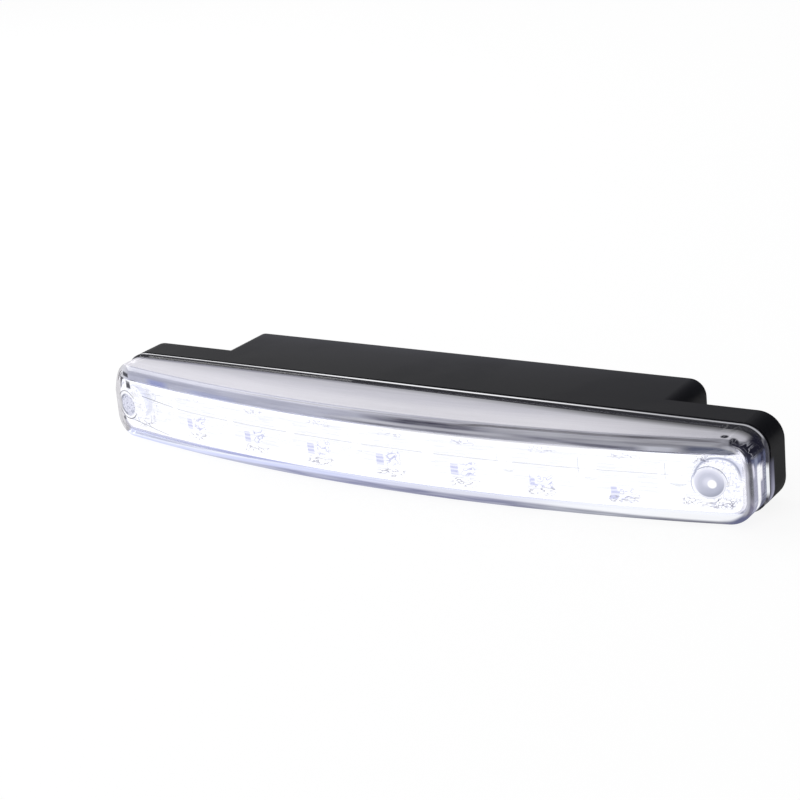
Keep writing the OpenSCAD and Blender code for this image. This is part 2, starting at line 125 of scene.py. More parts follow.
class RunningLightSettings(bpy.types.PropertyGroup):
    """Sizes and colours of the running light's visible pieces."""

    bow: bpy.props.FloatProperty(
        name="Bow", description="Extra depth of the curved front at the middle",
        default=10 * MM, unit="LENGTH")
    corner: bpy.props.FloatProperty(
        name="Corner radius", description="Corner radius of the lens's flange, seen from the front",
        default=6 * MM, unit="LENGTH")
    flange: bpy.props.FloatProperty(
        name="Flange thickness", description="Thickness of the flange at the lens's rear edge",
        default=1 * MM, unit="LENGTH")
    flange_step: bpy.props.FloatProperty(
        name="Flange step", description="How far the flange stands out past the lens wall",
        default=0.5 * MM, unit="LENGTH")
    lens_wall: bpy.props.FloatProperty(
        name="Lens wall", description="Thickness of the clear lens",
        default=1.6 * MM, unit="LENGTH")
    lens_edge: bpy.props.FloatProperty(
        name="Lens edge radius", description="Radius of the lens's front edge",
        default=1.2 * MM, unit="LENGTH")
    edge_roll: bpy.props.FloatProperty(
        name="Top edge roll", description="How far the front curves back at its top edge",
        default=0.75 * MM, unit="LENGTH")
    corner_roll: bpy.props.FloatProperty(
        name="Corner roll", description="How far the front curves back at its two top corners",
        default=2 * MM, unit="LENGTH")
    post_radius: bpy.props.FloatProperty(
        name="Post radius", description="Radius of the two screw posts behind the lens",
        default=3.2 * MM, unit="LENGTH")
    post_x: bpy.props.FloatProperty(
        name="Post distance", description="Distance of a screw post from the lamp's middle",
        default=84.2 * MM, unit="LENGTH")
    glow: bpy.props.FloatVectorProperty(
        name="Glow", description="Colour of the lit reflector", subtype="COLOR",
        size=3, default=(0.97, 0.98, 1.0))
    haze: bpy.props.FloatVectorProperty(
        name="Haze", description="Lavender tone of the faint details in the lit reflector",
        subtype="COLOR", size=3, default=(0.72, 0.75, 0.95))
    housing: bpy.props.FloatVectorProperty(
        name="Housing", description="Colour of the moulded rear housing", subtype="COLOR",
        size=3, default=(0.0125, 0.0128, 0.0165))


def settings():
    return bpy.context.scene.running_light


# Sizes of the curved front.

def bow_radius():
    half = CAD_BOX[1].x
    return (half * half + settings().bow ** 2) / (2 * settings().bow)


def bow_centre():
    return LENS_LOW.y + bow_radius()


def bow_y(x, depth):
    """Where the curved front lies at x, a depth behind the lens's outer face."""
    return bow_centre() - math.sqrt((bow_radius() - depth) ** 2 - x * x)


def rolled(x, z):
    """How far the front curves back near its top edge and its two top corners."""
    size = settings()
    edge = max(0.0, z - LENS_HIGH.z + EDGE_ROLL_START) / EDGE_ROLL_SPAN
    side = max(0.0, abs(x) - CAD_BOX[1].x + END_ROLL_START) / END_ROLL_SPAN
    top = max(0.0, z - LENS_HIGH.z + TOP_ROLL_START) / TOP_ROLL_SPAN
    return size.edge_roll * edge ** 2 + size.corner_roll * side * top


# Mesh helpers.

def new_mesh(name, bm):
    """Writes a bmesh to a new mesh and frees it."""
    mesh = bpy.data.meshes.new(name)
    bm.to_mesh(mesh)
    bm.free()
    return mesh


def new_object(name, data):
    """Puts a new object in the scene."""
    thing = bpy.data.objects.new(name, data)
    bpy.context.scene.collection.objects.link(thing)
    return thing


def shade(mesh):
    """Smooth shading that keeps the sharp edges crisp."""
    mesh.shade_smooth()
    mesh.set_sharp_from_angle(angle=SHARP_ANGLE)


def finish_piece(name, bm, material, replaces=()):
    """Turns a bmesh into a smooth-shaded piece that rides on the lamp."""
    bmesh.ops.recalc_face_normals(bm, faces=bm.faces)
    mesh = new_mesh(name, bm)
    shade(mesh)
    mesh.materials.append(material)
    piece = new_object(name, mesh)
    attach(piece, "root")
    if replaces:
        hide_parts(*replaces)
    return piece


def rounded_panel(bm, half_width, half_height, radius, y):
    """A flat rounded panel that faces the front, about the lamp's middle height."""
    panel = bmesh.ops.create_grid(bm, x_segments=1, y_segments=1, size=1)["verts"]
    bmesh.ops.scale(bm, vec=(half_width, half_height, 1), verts=panel)
    bmesh.ops.rotate(bm, cent=(0, 0, 0), matrix=Matrix.Rotation(math.radians(90), 3, "X"),
                     verts=panel)
    bmesh.ops.translate(bm, vec=(0, y, MID_Z), verts=panel)
    bmesh.ops.bevel(bm, geom=panel, offset=radius, offset_type="OFFSET", segments=16,
                    profile=0.5, affect="VERTICES", material=-1, clamp_overlap=False)
    return bm.faces[:][-1]


def cut(bm, place, normal):
    """Cuts every face that a plane passes through."""
    bmesh.ops.bisect_plane(bm, geom=bm.verts[:] + bm.edges[:] + bm.faces[:], plane_co=place,
                           plane_no=normal, dist=1e-7)


def open_edges(bm):
    """The edges round an opening."""
    return [e for e in bm.edges if len(e.link_faces) == 1]


def push(bm, face, distance):
    """Extrudes one face along -Y and returns the new face."""
    made = bmesh.ops.extrude_face_region(bm, geom=[face])["geom"]
    bmesh.ops.translate(bm, vec=(0, -distance, 0),
                        verts=[v for v in made if isinstance(v, bmesh.types.BMVert)])
    return next(f for f in made if isinstance(f, bmesh.types.BMFace))


def bowed_block(bm, inset, depth, edge, step=0.0):
    """A block with the lamp's rounded outline and its curved front, its front edge rounded."""
    size = settings()
    half_width = CAD_BOX[1].x - inset
    half_height = (LENS_HIGH.z - LENS_LOW.z) / 2 - inset
    rear = LENS_HIGH.y
    face = rounded_panel(bm, half_width, half_height, size.corner - inset, rear)
    if step:
        face = push(bm, face, size.flange)
        bmesh.ops.inset_region(bm, faces=[face], thickness=step, use_even_offset=True)
        half_width -= step
    face = push(bm, face, rear - LENS_LOW.y)
    flat = face.verts[0].co.y
    reach = half_width - (size.corner - inset - step)
    for i in range(FRONT_CUTS + 1):
        cut(bm, (reach * (2 * i / FRONT_CUTS - 1), 0, 0), (1, 0, 0))
    front = {v for v in bm.verts if abs(v.co.y - flat) < SAME_PLACE}
    for vert in front:
        vert.co.y = bow_y(vert.co.x, depth)
    rim = [e for e in bm.edges if e.verts[0] in front and e.verts[1] in front
           and any(not all(v in front for v in f.verts) for f in e.link_faces)]
    bmesh.ops.bevel(bm, geom=rim, offset=edge, offset_type="OFFSET", segments=6, profile=0.5,
                    affect="EDGES", material=-1, clamp_overlap=True)
    if step:
        roll_front(bm)


def roll_front(bm):
    """Cuts the outer front finer near its top and ends, and curves it back there."""
    for drop in TOP_CUTS:
        cut(bm, (0, 0, LENS_HIGH.z - drop), (0, 0, 1))
    for side in (-1, 1):
        for drop in END_CUTS:
            cut(bm, (side * (CAD_BOX[1].x - drop), 0, 0), (1, 0, 0))
    reach = settings().lens_edge * 1.05
    for vert in bm.verts:
        x, y, z = vert.co
        if y < bow_y(x, reach):
            vert.co.y += rolled(x, z)


def open_back(bm):
    """Takes away the faces that close the rear."""
    lids = [f for f in bm.faces if all(abs(v.co.y - LENS_HIGH.y) < SAME_PLACE for v in f.verts)]
    bmesh.ops.delete(bm, geom=lids, context="FACES")


def combine(piece, other, operation):
    """Joins another object to a piece, or cuts it away, and removes that object."""
    change = piece.modifiers.new(operation.lower(), "BOOLEAN")
    change.operation = operation
    change.object = other
    change.solver = "EXACT"
    bpy.context.view_layer.update()
    shaped = bpy.data.meshes.new_from_object(
        piece.evaluated_get(bpy.context.evaluated_depsgraph_get()))
    piece.modifiers.clear()
    piece.data = shaped
    bpy.data.objects.remove(other)


def rod(name, x, z, radius, front, rear):
    """A plain round rod along Y, used to add a post or to drill a hole."""
    bm = bmesh.new()
    made = bmesh.ops.create_cone(bm, cap_ends=True, segments=48, radius1=radius,
                                 radius2=radius, depth=rear - front)["verts"]
    bmesh.ops.rotate(bm, cent=(0, 0, 0), matrix=Matrix.Rotation(math.radians(90), 3, "X"),
                     verts=made)
    bmesh.ops.translate(bm, vec=(x, (front + rear) / 2, z), verts=made)
    bmesh.ops.recalc_face_normals(bm, faces=bm.faces)
    return new_object(name, new_mesh(name, bm))


# Material helpers.

def feed(tree, plug, value):
    """Links a socket to a plug, or sets the plug's plain value."""
    if isinstance(value, bpy.types.NodeSocket):
        tree.links.new(value, plug)
    else:
        plug.default_value = value


def put(tree, kind, values=None, **options):
    """Adds a shader node, sets its options and its sockets' values or links."""
    node = tree.nodes.new(kind)
    for option, value in options.items():
        setattr(node, option, value)
    for socket, value in (values or {}).items():
        feed(tree, node.inputs[socket], value)
    return node


def new_group(name, inputs, outputs):
    """An empty shader node group with named inputs and outputs."""
    tree = bpy.data.node_groups.new(name, "ShaderNodeTree")
    for label, value in inputs:
        socket = tree.interface.new_socket(label, in_out="INPUT", socket_type="NodeSocketFloat")
        socket.default_value = value
    for label in outputs:
        tree.interface.new_socket(label, in_out="OUTPUT", socket_type="NodeSocketFloat")
    return tree, tree.nodes.new("NodeGroupInput").outputs, tree.nodes.new("NodeGroupOutput").inputs


def use_group(tree, name, **values):
    """Places a shared effect in a material, with its own values, and returns its outputs."""
    node = tree.nodes.new("ShaderNodeGroup")
    node.node_tree = bpy.data.node_groups[name]
    for socket, value in values.items():
        feed(tree, node.inputs[socket], value)
    return node.outputs


def opaque(colour):
    """A plain colour with its fourth number; a socket stays as it is."""
    return colour if isinstance(colour, bpy.types.NodeSocket) else (*colour, 1.0)


def blend_colour(tree, factor, first, second):
    """The second colour over the first, as far as the factor says."""
    return put(tree, "ShaderNodeMix", {0: factor, 6: opaque(first), 7: opaque(second)},
               data_type="RGBA").outputs[2]


def maths(tree, operation, *values, use_clamp=False):
    """One sum of up to three values."""
    return put(tree, "ShaderNodeMath", dict(enumerate(values)), operation=operation,
               use_clamp=use_clamp).outputs[0]


def length(tree, across, along):
    """How long a step across and along is."""
    step = put(tree, "ShaderNodeCombineXYZ", {"X": across, "Y": along}).outputs[0]
    return put(tree, "ShaderNodeVectorMath", {0: step}, operation="LENGTH").outputs["Value"]


def ramp(tree, value, low, high, start=0.0, end=1.0):
    """A smooth step from start to end while value goes from low to high."""
    return put(tree, "ShaderNodeMapRange", {
        "Value": value, "From Min": low, "From Max": high, "To Min": start, "To Max": end,
    }, interpolation_type="SMOOTHSTEP").outputs["Result"]


def every(tree, *masks):
    """Where all the masks hold at once."""
    product = masks[0]
    for mask in masks[1:]:
        product = maths(tree, "MULTIPLY", product, mask)
    return product


def either(tree, *masks):
    """Where at least one of the masks holds."""
    union = masks[0]
    for mask in masks[1:]:
        union = maths(tree, "MAXIMUM", union, mask)
    return union


def band(tree, value, low, high, soft):
    """One between low and high, nothing outside, with a soft edge."""
    return use_group(tree, "band", Value=value, Low=low, High=high, Soft=soft)["Mask"]


def area(tree, *bands):
    """Where several bands cross, each given as a value, its low, its high and its soft edge."""
    return every(tree, *(band(tree, *limits) for limits in bands))


def layer(tree, colour, *coats):
    """Lays coats of colour over one another, each where its mask holds."""
    for mask, coat in coats:
        colour = blend_colour(tree, mask, colour, coat)
    return colour


def from_point(tree, first, second, x, z):
    """How far a place is from a point, in two of its measures."""
    return length(tree, maths(tree, "SUBTRACT", first, x), maths(tree, "SUBTRACT", second, z))


# Shared effects, each a node group.

def build_place_group():
    """A place on the lamp in millimetres: along it, behind the seam, up, and in from the skin."""
    tree, _, out = new_group("lamp_place", [], ["Along", "Back", "Up", "Depth", "Inset"])
    where = put(tree, "ShaderNodeSeparateXYZ", {
        "Vector": put(tree, "ShaderNodeVectorMath", {
            0: put(tree, "ShaderNodeTexCoord").outputs["Object"], "Scale": 1000.0,
        }, operation="SCALE").outputs["Vector"]}).outputs
    tree.links.new(where["X"], out["Along"])
    tree.links.new(maths(tree, "SUBTRACT", where["Y"], SEAM_Y / MM), out["Back"])
    tree.links.new(where["Z"], out["Up"])
    reach = length(tree, where["X"], maths(tree, "SUBTRACT", where["Y"], bow_centre() / MM))
    tree.links.new(maths(tree, "SUBTRACT", bow_radius() / MM, reach), out["Depth"])
    corner = settings().corner / MM
    past_x = maths(tree, "SUBTRACT", maths(tree, "ABSOLUTE", where["X"]),
                   CAD_BOX[1].x / MM - corner)
    past_z = maths(tree, "SUBTRACT", maths(tree, "ABSOLUTE", maths(
        tree, "SUBTRACT", where["Z"], MID_Z / MM)), MID_Z / MM - corner)
    outside = length(tree, maths(tree, "MAXIMUM", past_x, 0.0), maths(tree, "MAXIMUM", past_z, 0.0))
    within = maths(tree, "MINIMUM", maths(tree, "MAXIMUM", past_x, past_z), 0.0)
    tree.links.new(maths(tree, "SUBTRACT", corner, maths(tree, "ADD", outside, within)),
                   out["Inset"])


def build_band_group():
    """A mask between two values, with a soft edge."""
    tree, value, out = new_group("band", [("Value", 0), ("Low", 0), ("High", 1), ("Soft", 0.1)],
                                 ["Mask"])
    rise = maths(tree, "DIVIDE", maths(tree, "SUBTRACT", value["Value"], value["Low"]),
                 value["Soft"])
    fall = maths(tree, "DIVIDE", maths(tree, "SUBTRACT", value["High"], value["Value"]),
                 value["Soft"])
    tree.links.new(put(tree, "ShaderNodeClamp", {
        "Value": maths(tree, "ADD", maths(tree, "MINIMUM", rise, fall), 0.5)}).outputs[0],
        out["Mask"])


def build_grain_group():
    """The fine grain of a moulding, and its broad patches of tone."""
    tree, value, out = new_group("moulded_grain", [("Size", 0.3)], ["Height", "Tone"])
    spot = put(tree, "ShaderNodeTexCoord").outputs["Object"]
    fine = put(tree, "ShaderNodeTexNoise", {
        "Vector": spot, "Scale": maths(tree, "DIVIDE", 1000.0, value["Size"]), "Detail": 2.0})
    broad = put(tree, "ShaderNodeTexNoise", {"Vector": spot, "Scale": 40.0, "Detail": 3.0})
    tree.links.new(fine.outputs[0], out["Height"])
    tree.links.new(ramp(tree, broad.outputs[0], 0.35, 0.68), out["Tone"])


def build_streaks_group():
    """Long soft streaks along the lamp, which may lean."""
    tree, value, out = new_group("streaks", [("Length", 18), ("Width", 0.8), ("Lean", 0)],
                                 ["Mask"])
    place = use_group(tree, "lamp_place")
    leaned = maths(tree, "ADD", place["Up"], maths(tree, "MULTIPLY", place["Along"],
                                                   value["Lean"]))
    noise = put(tree, "ShaderNodeTexNoise", {"Vector": put(tree, "ShaderNodeCombineXYZ", {
        "X": maths(tree, "DIVIDE", place["Along"], value["Length"]),
        "Y": maths(tree, "DIVIDE", leaned, value["Width"]),
        "Z": maths(tree, "DIVIDE", place["Depth"], value["Width"]),
    }).outputs[0], "Scale": 1.0, "Detail": 2.0})
    tree.links.new(ramp(tree, noise.outputs[0], 0.36, 0.66), out["Mask"])


def build_scribbles_group():
    """Thin curled lines, painted reflections such as a reflector's edges leave in one another."""
    tree, value, out = new_group("scribbles", [("Width", 1.4), ("Height", 0.9), ("Seed", 0)],
                                 ["Mask"])
    place = use_group(tree, "lamp_place")
    noise = put(tree, "ShaderNodeTexNoise", {"Vector": put(tree, "ShaderNodeCombineXYZ", {
        "X": maths(tree, "DIVIDE", place["Along"], value["Width"]),
        "Y": maths(tree, "DIVIDE", place["Up"], value["Height"]), "Z": value["Seed"],
    }).outputs[0], "Scale": 1.0, "Detail": 1.0})
    line = maths(tree, "ABSOLUTE", maths(tree, "SUBTRACT", noise.outputs[0], 0.5))
    tree.links.new(ramp(tree, line, 0.045, 0.015), out["Mask"])


def build_groups():
    """Builds every shared effect once."""
    for build in (build_place_group, build_band_group, build_grain_group, build_streaks_group,
                  build_scribbles_group):
        build()


# Materials.

def new_material(name, **values):
    """A Principled material with its plain values set, and its node tree."""
    material = bpy.data.materials.new(name)
    material.use_nodes = True
    shader = material.node_tree.nodes["Principled BSDF"]
    for socket, value in values.items():
        shader.inputs[socket.replace("_", " ")].default_value = value
    return material, material.node_tree, shader.inputs


def bump(tree, shader, height, distance):
    """A fine relief, a distance high in metres."""
    node = put(tree, "ShaderNodeBump", {"Height": height, "Distance": distance, "Strength": 1.0})
    tree.links.new(node.outputs["Normal"], shader["Normal"])


def moulded(name, colour, light, roughness, grain=0.35, specular=0.5):
    """Moulded plastic or rubber: a fine grain, and soft patches of colour and gloss."""
    material, tree, shader = new_material(name, Specular_IOR_Level=specular)
    effect = use_group(tree, "moulded_grain", Size=grain)
    tree.links.new(blend_colour(tree, effect["Tone"], colour, light), shader["Base Color"])
    tree.links.new(ramp(tree, effect["Tone"], 0.0, 1.0, roughness - 0.05, roughness + 0.05),
                   shader["Roughness"])
    bump(tree, shader, effect["Height"], 0.02 * MM)
    return material


def dress(material, *names):
    """Gives CAD nodes that keep their shape a material."""
    for name in names:
        node = NODES[name]
        node.data.materials.clear()
        node.data.materials.append(material)


def lens_places(tree):
    """The places, grains and masks that the coats of the lens share."""
    place = use_group(tree, "lamp_place")
    at = SimpleNamespace(along=place["Along"], back=place["Back"], up=place["Up"],
                         depth=place["Depth"], inset=place["Inset"])
    at.ends = maths(tree, "ABSOLUTE", at.along)
    at.fold = maths(tree, "ADD", at.up, at.depth)
    at.turn = maths(tree, "SUBTRACT", at.depth, at.inset)
    at.fine = use_group(tree, "streaks", Length=14.0, Width=0.7)["Mask"]
    at.broad = use_group(tree, "streaks", Length=34.0, Width=2.2)["Mask"]
    at.crumpled = use_group(tree, "scribbles", Width=1.1, Height=1.0, Seed=4.0)["Mask"]
    at.skin = either(tree, ramp(tree, at.depth, 1.35, 1.1), ramp(tree, at.inset, 1.9, 1.6))
    at.face = every(tree, at.skin, ramp(tree, at.inset, 1.0, 1.6),
                    ramp(tree, at.depth, 1.8, 1.5))
    return at


def lens_lines(tree, at):
    """Thin lines of painted shade along the front."""
    along, up, face = at.along, at.up, at.face
    upper = maths(tree, "SUBTRACT", up, ramp(tree, along, -84.0, -60.0, 14.2, 15.5))
    lower = maths(tree, "SUBTRACT", up, ramp(tree, along, -84.0, -60.0, 13.6, 12.1))
    foot = maths(tree, "SUBTRACT", up, maths(tree, "MULTIPLY_ADD", along, -0.14, -5.8))
    lines = every(tree, either(tree, every(tree, band(tree, upper, -0.12, 0.12, 0.15), at.fine),
                               band(tree, lower, -0.15, 0.15, 0.15)), face,
                  ramp(tree, along, 79.0, 77.0), ramp(tree, along, -83.0, -81.5))
    line_tone = blend_colour(tree, ramp(tree, along, -82.0, -62.0), (0.20, 0.21, 0.24),
                             (0.58, 0.59, 0.64))
    under_line = every(tree, face, area(tree, (foot, -0.14, 0.14, 0.15),
                                        (along, -84.5, -70.0, 2.0)))
    return {"lines": (lines, line_tone), "under_line": (under_line, (0.38, 0.39, 0.44))}


def lens_posts(tree, at):
    """The two screw posts seen through the front in painted light and shade, with painted shade
    round the left post and painted reflections of curled edges beside the right one.
    """
    along, up, face, crumpled = at.along, at.up, at.face, at.crumpled

    def away(x, z):
        return from_point(tree, along, up, x, z)

    right_post = away(82.8, 10.55)
    left_post = away(-86.5, 9.8)
    # Disc, ring and halo: painted light and shade over the posts, with a painted highlight on the
    # right one.
    disc = every(tree, either(tree, ramp(tree, right_post, 3.75, 3.55),
                              ramp(tree, left_post, 3.5, 3.3)), face)
    cheek = maths(tree, "SUBTRACT", up, maths(
        tree, "MULTIPLY", maths(tree, "SUBTRACT", at.ends, 84.0), 0.4))
    disc_tone = layer(
        tree, (0.78, 0.79, 0.92),
        (every(tree, ramp(tree, cheek, 12.5, 7.5), ramp(tree, along, -1.0, 0.0)),
         (0.36, 0.38, 0.48)),
        (every(tree, band(tree, right_post, 1.3, 2.7, 0.8), 0.6), (0.50, 0.52, 0.64)),
        (every(tree, crumpled, ramp(tree, along, 0.0, -1.0)), (0.42, 0.44, 0.56)),
        (ramp(tree, away(83.4, 10.4), 1.2, 0.8), (1.05, 1.05, 1.05)),
        (band(tree, right_post, 3.25, 3.6, 0.2), (0.9, 0.91, 1.0)),
        (every(tree, band(tree, left_post, 2.5, 3.0, 0.4), ramp(tree, along, -86.0, -88.0)),
         (0.24, 0.25, 0.31)),
        (band(tree, left_post, 3.1, 3.5, 0.2), (1.0, 1.0, 1.05)))
    ring = every(tree, either(tree, band(tree, right_post, 3.85, 4.05, 0.15),
                              band(tree, away(84.6, 11.6), 4.7, 5.3, 0.4)),
                 face, ramp(tree, cheek, 8.0, 12.0))
    halo = every(tree, either(tree, ramp(tree, away(84.8, 11.0), 5.3, 5.0),
                              ramp(tree, away(-84.4, 10.6), 5.9, 5.4)), face)
    halo_tone = blend_colour(tree, crumpled, (0.97, 0.97, 1.0), (0.66, 0.68, 0.80))
    # Painted shade along the left post's edge, and a spot of it below that post.
    arc = every(tree, band(tree, left_post, 3.75, 4.0, 0.15), either(
        tree, ramp(tree, up, 8.6, 7.2), ramp(tree, up, 11.4, 12.8, 0.0, 0.8)))
    post_edge_shade = every(tree, face, either(tree, arc, ramp(tree, away(-88.7, 5.7), 0.8, 0.4)))
    # Painted dark reflections of curled edges beside the right post.
    nicks = every(tree, face, use_group(tree, "scribbles", Width=1.2, Height=1.0,
                                        Seed=5.0)["Mask"], either(
        tree, area(tree, (along, 79.5, 83.2, 0.8), (up, 15.2, 17.0, 0.6)),
        area(tree, (along, 76.8, 80.5, 0.8), (up, 5.2, 7.0, 0.6)),
        area(tree, (along, 84.0, 88.6, 0.8), (up, 4.6, 7.0, 0.6))))
    # The post's side glows with painted light.
    axis = from_point(tree, at.ends, up, settings().post_x / MM, MID_Z / MM)
    post_side = every(tree, ramp(tree, axis, 3.4, 3.3), ramp(tree, at.depth, 1.62, 1.7))
    return {"post_side": (post_side, (0.70, 0.72, 0.86)), "halo": (halo, halo_tone),
            "ring": (ring, (0.28, 0.30, 0.42)), "disc": (disc, disc_tone),
            "post_edge_shade": (post_edge_shade, (0.13, 0.13, 0.15)), "nicks": (nicks, (0.22, 0.22, 0.30))}


def lens_edge(tree, at):
    """The rounded front edge along the top, in painted shade and painted reflections."""
    along, up, fold = at.along, at.up, at.fold
    edge = every(tree, at.skin, ramp(tree, fold, 17.3, 17.6), ramp(tree, fold, 22.7, 22.1),
                 ramp(tree, up, 17.0, 17.3))
    # Lines of painted shade along the edge.
    core = maths(tree, "SUBTRACT", fold, ramp(tree, along, 14.0, 34.0, 19.9, 21.3))
    shade_line = maths(tree, "SUBTRACT", fold, ramp(tree, along, 40.0, 62.0, 18.7, 17.9))
    edge_tone = layer(
        tree, (0.42, 0.43, 0.54), (ramp(tree, along, -45.0, 45.0), (0.28, 0.28, 0.33)),
        (every(tree, ramp(tree, along, 20.0, 60.0), 0.5), (0.31, 0.31, 0.35)),
        (ramp(tree, along, 58.0, 80.0), (0.22, 0.22, 0.25)),
        (every(tree, band(tree, fold, 21.0, 21.5, 0.4), ramp(tree, along, -60.0, -25.0)),
         (0.26, 0.26, 0.30)),
        (area(tree, (fold, 17.9, 18.8, 0.4), (along, -10.0, 34.0, 16.0)), (0.44, 0.44, 0.49)),
        (area(tree, (fold, 18.9, 20.7, 0.5), (along, 2.0, 27.0, 14.0)), (0.035, 0.033, 0.06)),
        (area(tree, (core, -0.6, 0.3, 0.3), (along, 23.0, 84.0, 8.0)), (0.035, 0.033, 0.045)),
        (area(tree, (shade_line, -0.4, 0.3, 0.35), (along, 40.0, 70.0, 7.0)), (0.12, 0.12, 0.16)),
        (area(tree, (fold, 17.5, 18.6, 0.3), (along, 68.0, 76.0, 4.0)), (0.52, 0.53, 0.60)),
        (area(tree, (fold, 17.5, 18.1, 0.3), (along, -8.0, 30.0, 14.0)), (0.16, 0.16, 0.2)),
        (every(tree, band(tree, fold, 17.4, 19.2, 0.3), ramp(tree, along, 76.0, 80.0)),
         (0.07, 0.08, 0.13)),
        (area(tree, (fold, 17.4, 19.0, 0.6), (along, -76.0, -69.0, 3.0)), (0.24, 0.27, 0.52)),
        (area(tree, (fold, 17.4, 18.6, 0.6), (along, -60.0, -44.0, 5.0)), (0.38, 0.41, 0.62)),
        (every(tree, at.fine, 0.16), (0.75, 0.76, 0.84)),
        (every(tree, at.broad, 0.2), (0.12, 0.12, 0.15)),
        (ramp(tree, along, -82.5, -88.0, 0.0, 0.8), (0.66, 0.66, 0.70)))
    # A grey band of painted shade under the edge.
    shade_band = every(tree, at.face, area(tree, (fold, 16.95, 17.4, 0.25), (along, 0.0, 62.0, 12.0)))
    return {"edge": (edge, edge_tone), "shade_band": (shade_band, (0.56, 0.56, 0.60))}


def lens_top(tree, at):
    """The top face: painted shade along the flange, painted light paler towards the front, and two
    soft painted dark reflections.
    """
    along, back, up = at.along, at.back, at.up
    top = every(tree, ramp(tree, at.inset, 1.0, 0.75), ramp(tree, up, 18.0, 19.5),
                ramp(tree, at.fold, 22.1, 22.7), ramp(tree, back, -1.78, FLANGE_FRONT))
    gap = maths(tree, "SUBTRACT", ramp(tree, along, -70.0, 70.0, -2.45, -3.4), back)
    middle = layer(tree, (0.25, 0.25, 0.30), (ramp(tree, along, -50.0, 10.0), (0.35, 0.35, 0.38)),
                   (ramp(tree, along, 20.0, 70.0), (0.13, 0.13, 0.14)))
    bright = blend_colour(tree, ramp(tree, along, -40.0, 20.0), (0.66, 0.65, 0.70),
                          (0.60, 0.59, 0.63))
    pale = layer(tree, (0.47, 0.465, 0.52), (ramp(tree, at.depth, 13.0, 5.0), bright),
                 (ramp(tree, along, 45.0, 84.0), (0.43, 0.425, 0.47)),
                 (every(tree, at.broad, 0.16), (0.50, 0.49, 0.54)),
                 (every(tree, at.fine, 0.10), (0.8, 0.79, 0.84)))
    paling = maths(tree, "DIVIDE", maths(tree, "SUBTRACT", gap, 0.6),
                   ramp(tree, along, -40.0, 60.0, 0.9, 2.3), use_clamp=True)
    top_tone = layer(tree, (0.02, 0.02, 0.025), (ramp(tree, gap, -0.1, 0.4), middle),
                     (paling, pale))
    # Two soft painted dark reflections near the right end.
    dark_top_reflections = every(tree, at.skin, ramp(tree, up, 17.5, 18.2),
                  ramp(tree, at.crumpled, 0.0, 1.0, 1.0, 0.7), either(
        tree, ramp(tree, from_point(tree, along, back, 85.3, -8.0), 1.15, 0.6),
        ramp(tree, from_point(tree, along, back, 87.9, -8.9), 1.4, 0.8)))
    return {"top": (top, top_tone), "dark_top_reflections": (dark_top_reflections, (0.012, 0.012, 0.02))}


def lens_low(tree, at):
    """The rounded lower edge: a pale sill of painted light over a darker keel of painted shade."""
    along = at.along
    rise = maths(tree, "ADD", at.up, ramp(tree, along, -88.0, -10.0, 1.8, 0.0))
    low = every(tree, at.skin, ramp(tree, rise, 3.9, 3.3), ramp(tree, at.back, FLANGE_FRONT, -2.0))
    sill = layer(tree, (0.63, 0.67, 0.93), (ramp(tree, along, -20.0, 20.0), (0.70, 0.71, 0.82)),
                 (ramp(tree, along, 25.0, 60.0), (0.93, 0.94, 0.97)))
    sill = blend_colour(tree, ramp(tree, rise, 2.9, 3.7), sill, (0.84, 0.87, 0.98))
    keel = layer(tree, (0.50, 0.52, 0.66), (ramp(tree, along, -60.0, -25.0), (0.28, 0.29, 0.44)),
                 (ramp(tree, along, -20.0, 15.0), (0.20, 0.205, 0.32)),
                 (ramp(tree, along, 25.0, 55.0), (0.32, 0.33, 0.39)),
                 (ramp(tree, along, 60.0, 80.0), (0.09, 0.09, 0.13)))
    below = ramp(tree, rise, ramp(tree, along, 35.0, 82.0, 2.7, 1.9),
                 ramp(tree, along, 35.0, 82.0, 2.0, 1.2))
    low_tone = layer(tree, sill, (below, keel), (every(tree, at.fine, 0.25), (0.9, 0.92, 1.0)))
    return {"low": (low, low_tone)}


def lens_left(tree, at):
    """The left end in painted light and shade, and two dark spots of painted shade beside its post.
    """
    along, up, inset = at.along, at.up, at.inset
    left = every(tree, at.skin, ramp(tree, along, -88.6, -89.6),
                 ramp(tree, at.back, FLANGE_FRONT, -2.0))
    left_tone = layer(tree, (0.60, 0.59, 0.615), (ramp(tree, inset, 1.3, 0.8), (0.38, 0.37, 0.39)),
                      (every(tree, band(tree, inset, 2.0, 2.5, 0.5), ramp(tree, up, 8.0, 4.0)),
                       (0.36, 0.36, 0.38)), (every(tree, at.fine, 0.3), (0.75, 0.75, 0.78)))
    # Two dark spots of painted shade beside the left post.
    left_shade_spots = every(tree, at.face, 0.97, either(
        tree, area(tree, (along, -87.4, -84.4, 0.5), (up, 17.8, 18.9, 0.4)),
        area(tree, (along, -86.0, -84.0, 0.4), (up, 14.7, 16.8, 0.5))))
    return {"left": (left, left_tone), "left_shade_spots": (left_shade_spots, (0.035, 0.035, 0.05))}


